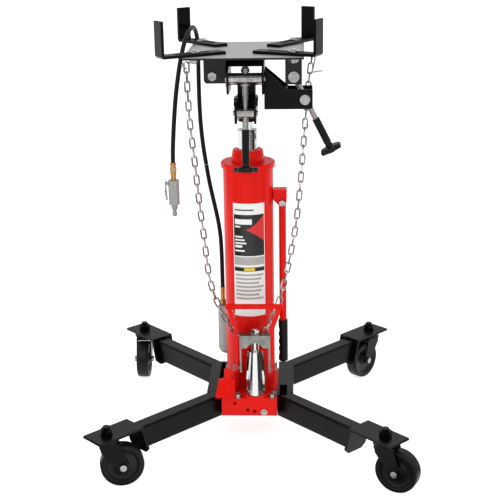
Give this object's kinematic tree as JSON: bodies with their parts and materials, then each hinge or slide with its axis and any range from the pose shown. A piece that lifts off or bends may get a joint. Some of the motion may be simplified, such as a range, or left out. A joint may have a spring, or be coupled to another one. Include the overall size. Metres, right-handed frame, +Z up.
{
  "type": "transmission jack",
  "caption": "Telescopic two-stage hydraulic transmission jack: X-leg caster base, foot pump with air motor, and a saddle that tilts two ways with four swinging angle arms.",
  "frame": {"origin": "on the floor under the middle of the base's footprint, 14 mm to the right of the column's axis", "axes": "+Z up, -Y toward the pump pedal's side, +X to the right of someone who faces the pump pedal"},
  "size_m": [0.7662, 0.7656, 1.0383],
  "materials": {
    "red": "gloss red enamel",
    "black": "semi-gloss black powder coat",
    "chrome": "polished hard chrome",
    "zinc": "bright zinc plate",
    "brass": "plain brass",
    "cast_grey": "bead-blasted cast aluminium",
    "rubber": "satin black rubber",
    "grip": "matt black vinyl"
  },
  "bodies": {
    "base": {"base_block": "red", "left_leg_frame": "black", "right_leg_frame": "black", "reservoir_tube": "red", "cylinder_barrel": "zinc", "top_cap": "red", "gland_nut": "red", "handle_bracket": "red", "handle_bolt": "zinc", "air_motor": "cast_grey", "motor_fitting": "brass", "pump_barrel": "chrome", "release_pedal_pin": "zinc", "air_hose_lower": "rubber"},
    "caster_front_left": {"caster_fork_front_left": "black", "caster_axle_front_left": "zinc"},
    "wheel_front_left": {"caster_wheel_front_left": "rubber"},
    "caster_front_right": {"caster_fork_front_right": "black", "caster_axle_front_right": "zinc"},
    "wheel_front_right": {"caster_wheel_front_right": "rubber"},
    "caster_rear_left": {"caster_fork_rear_left": "black", "caster_axle_rear_left": "zinc"},
    "wheel_rear_left": {"caster_wheel_rear_left": "rubber"},
    "caster_rear_right": {"caster_fork_rear_right": "black", "caster_axle_rear_right": "zinc"},
    "wheel_rear_right": {"caster_wheel_rear_right": "rubber"},
    "outer_stage": {"outer_ram": "chrome"},
    "inner_stage": {"inner_ram": "chrome", "ram_head": "black", "air_hose_upper": "rubber", "air_valve": "cast_grey", "safety_chain": "zinc"},
    "valve_lever": {"valve_lever": "cast_grey"},
    "tilt_frame": {"tilt_frame": "black", "tilt_pin": "zinc"},
    "tilt_trunnion": {"tilt_trunnion": "zinc"},
    "tilt_nut": {"tilt_nut": "zinc"},
    "tilt_screw": {"tilt_screw": "zinc", "tilt_knob": "grip"},
    "saddle": {"saddle_plate": "black", "side_pivot_bolt": "zinc"},
    "side_trunnion": {"side_trunnion": "zinc"},
    "side_nut": {"side_nut": "zinc"},
    "side_screw": {"side_screw": "zinc", "side_knob": "grip"},
    "arm_bolt_front_left": {"arm_bolt_front_left": "zinc"},
    "saddle_arm_front_left": {"saddle_arm_front_left": "black"},
    "arm_bolt_front_right": {"arm_bolt_front_right": "zinc"},
    "saddle_arm_front_right": {"saddle_arm_front_right": "black"},
    "arm_bolt_rear_left": {"arm_bolt_rear_left": "zinc"},
    "saddle_arm_rear_left": {"saddle_arm_rear_left": "black"},
    "arm_bolt_rear_right": {"arm_bolt_rear_right": "zinc"},
    "saddle_arm_rear_right": {"saddle_arm_rear_right": "black"},
    "side_handle": {"side_handle": "red", "handle_grip": "grip"},
    "pump_pedal": {"pump_pedal": "red"},
    "pump_plunger": {"pump_plunger": "chrome", "plunger_bracket": "zinc"},
    "release_pedal": {"release_pedal": "red"}
  },
  "joints": [
    {"name": "caster_swivel_front_left", "type": "hinge", "parent": "base", "child": "caster_front_left", "pos_m": [-0.331, -0.33, 0.11], "axis": [0, 0, 1], "continuous": true},
    {"name": "wheel_spin_front_left", "type": "hinge", "parent": "caster_front_left", "child": "wheel_front_left", "pos_m": [-0.30009, -0.32172, 0.0508], "axis": [-0.2588, 0.9659, 0], "continuous": true},
    {"name": "caster_swivel_front_right", "type": "hinge", "parent": "base", "child": "caster_front_right", "pos_m": [0.303, -0.33, 0.11], "axis": [0, 0, 1], "continuous": true},
    {"name": "wheel_spin_front_right", "type": "hinge", "parent": "caster_front_right", "child": "wheel_front_right", "pos_m": [0.33176, -0.34403, 0.0508], "axis": [0.4384, 0.8988, 0], "continuous": true},
    {"name": "caster_swivel_rear_left", "type": "hinge", "parent": "base", "child": "caster_rear_left", "pos_m": [-0.331, 0.33, 0.11], "axis": [0, 0, 1], "continuous": true},
    {"name": "wheel_spin_rear_left", "type": "hinge", "parent": "caster_rear_left", "child": "wheel_rear_left", "pos_m": [-0.331, 0.298, 0.0508], "axis": [1, 0, 0], "continuous": true},
    {"name": "caster_swivel_rear_right", "type": "hinge", "parent": "base", "child": "caster_rear_right", "pos_m": [0.303, 0.33, 0.11], "axis": [0, 0, 1], "continuous": true},
    {"name": "wheel_spin_rear_right", "type": "hinge", "parent": "caster_rear_right", "child": "wheel_rear_right", "pos_m": [0.28286, 0.30513, 0.0508], "axis": [0.7771, -0.6293, 0], "continuous": true},
    {"name": "outer_ram_lift", "type": "slide", "parent": "base", "child": "outer_stage", "axis": [0, 0, 1], "range_m": [0, 0.48]},
    {"name": "inner_ram_lift", "type": "slide", "parent": "outer_stage", "child": "inner_stage", "axis": [0, 0, 1], "range_m": [0, 0.48]},
    {"name": "valve_lever", "type": "hinge", "parent": "inner_stage", "child": "valve_lever", "pos_m": [-0.211, 0.01, 0.633], "axis": [0, -1, 0], "range_deg": [0, 4], "stiffness_Nm_per_rad": 0.5, "springref_deg": -5.73},
    {"name": "saddle_tilt", "type": "hinge", "parent": "inner_stage", "child": "tilt_frame", "pos_m": [-0.014, 0, 0.88], "axis": [1, 0, 0], "range_deg": [-12, 4]},
    {"name": "tilt_trunnion", "type": "hinge", "parent": "tilt_frame", "child": "tilt_trunnion", "pos_m": [-0.014, -0.062, 0.898], "axis": [1, 0, 0], "range_deg": [-8, 12]},
    {"name": "tilt_nut", "type": "hinge", "parent": "inner_stage", "child": "tilt_nut", "pos_m": [-0.014, -0.0773, 0.82], "axis": [1, 0, 0], "range_deg": [-3, 3]},
    {"name": "tilt_screw_turn", "type": "hinge", "parent": "tilt_trunnion", "child": "tilt_screw", "pos_m": [-0.014, -0.062, 0.898], "axis": [0, 0.1925, 0.9813], "range_deg": [-600, 1100]},
    {"name": "side_tilt", "type": "hinge", "parent": "tilt_frame", "child": "saddle", "pos_m": [-0.092, 0, 0.899], "axis": [0, 1, 0], "range_deg": [-8, 2]},
    {"name": "side_trunnion", "type": "hinge", "parent": "saddle", "child": "side_trunnion", "pos_m": [0.097, 0, 0.894], "axis": [0, 1, 0], "range_deg": [-8, 18]},
    {"name": "side_nut", "type": "hinge", "parent": "tilt_frame", "child": "side_nut", "pos_m": [0.123, 0, 0.842], "axis": [0, 1, 0], "range_deg": [-4, 10]},
    {"name": "side_screw_turn", "type": "hinge", "parent": "side_trunnion", "child": "side_screw", "pos_m": [0.097, 0, 0.894], "axis": [-0.4472, 0, 0.8944], "range_deg": [-700, 1800]},
    {"name": "arm_swing_front_left", "type": "hinge", "parent": "saddle", "child": "arm_bolt_front_left", "pos_m": [-0.126, -0.11, 0.956], "axis": [0, 0, 1], "range_deg": [-40, 40]},
    {"name": "arm_slide_front_left", "type": "slide", "parent": "arm_bolt_front_left", "child": "saddle_arm_front_left", "axis": [-0.848, -0.5299, 0], "range_m": [-0.036, 0.032]},
    {"name": "arm_swing_front_right", "type": "hinge", "parent": "saddle", "child": "arm_bolt_front_right", "pos_m": [0.098, -0.11, 0.956], "axis": [0, 0, 1], "range_deg": [-40, 40]},
    {"name": "arm_slide_front_right", "type": "slide", "parent": "arm_bolt_front_right", "child": "saddle_arm_front_right", "axis": [0.891, -0.454, 0], "range_m": [-0.015, 0.05]},
    {"name": "arm_swing_rear_left", "type": "hinge", "parent": "saddle", "child": "arm_bolt_rear_left", "pos_m": [-0.126, 0.11, 0.956], "axis": [0, 0, 1], "range_deg": [-2, 20]},
    {"name": "arm_slide_rear_left", "type": "slide", "parent": "arm_bolt_rear_left", "child": "saddle_arm_rear_left", "axis": [-0.6428, 0.766, 0], "range_m": [-0.008, 0.018]},
    {"name": "arm_swing_rear_right", "type": "hinge", "parent": "saddle", "child": "arm_bolt_rear_right", "pos_m": [0.098, 0.11, 0.956], "axis": [0, 0, 1], "range_deg": [-40, 40]},
    {"name": "arm_slide_rear_right", "type": "slide", "parent": "arm_bolt_rear_right", "child": "saddle_arm_rear_right", "axis": [0.5299, 0.848, 0], "range_m": [-0.017, 0.05]},
    {"name": "side_handle_swing", "type": "hinge", "parent": "base", "child": "side_handle", "pos_m": [0.068, 0, 0.589], "axis": [0, -1, 0], "range_deg": [-1, 90]},
    {"name": "pump_pedal", "type": "hinge", "parent": "base", "child": "pump_pedal", "pos_m": [0.001, -0.068, 0.184], "axis": [1, 0, 0], "range_deg": [0, 30], "stiffness_Nm_per_rad": 3, "springref_deg": -20.05},
    {"name": "pump_stroke", "type": "slide", "parent": "base", "child": "pump_plunger", "axis": [0, 0, 1], "range_m": [-0.018, 0]},
    {"name": "release_pedal", "type": "hinge", "parent": "base", "child": "release_pedal", "pos_m": [-0.068, -0.106, 0.134], "axis": [1, 0, 0], "range_deg": [0, 20], "stiffness_Nm_per_rad": 0.4, "springref_deg": -22.92}
  ],
  "couplings": [
    {"joint": "tilt_trunnion", "follows": "saddle_tilt", "ratio": -0.9},
    {"joint": "tilt_nut", "follows": "saddle_tilt", "ratio": 0.1},
    {"joint": "tilt_screw_turn", "follows": "saddle_tilt", "ratio": -80},
    {"joint": "side_trunnion", "follows": "side_tilt", "ratio": -2.1},
    {"joint": "side_nut", "follows": "side_tilt", "ratio": -1.1},
    {"joint": "side_screw_turn", "follows": "side_tilt", "ratio": -217},
    {"joint": "pump_stroke", "follows": "pump_pedal", "m_per_rad": -0.0325}
  ]
}
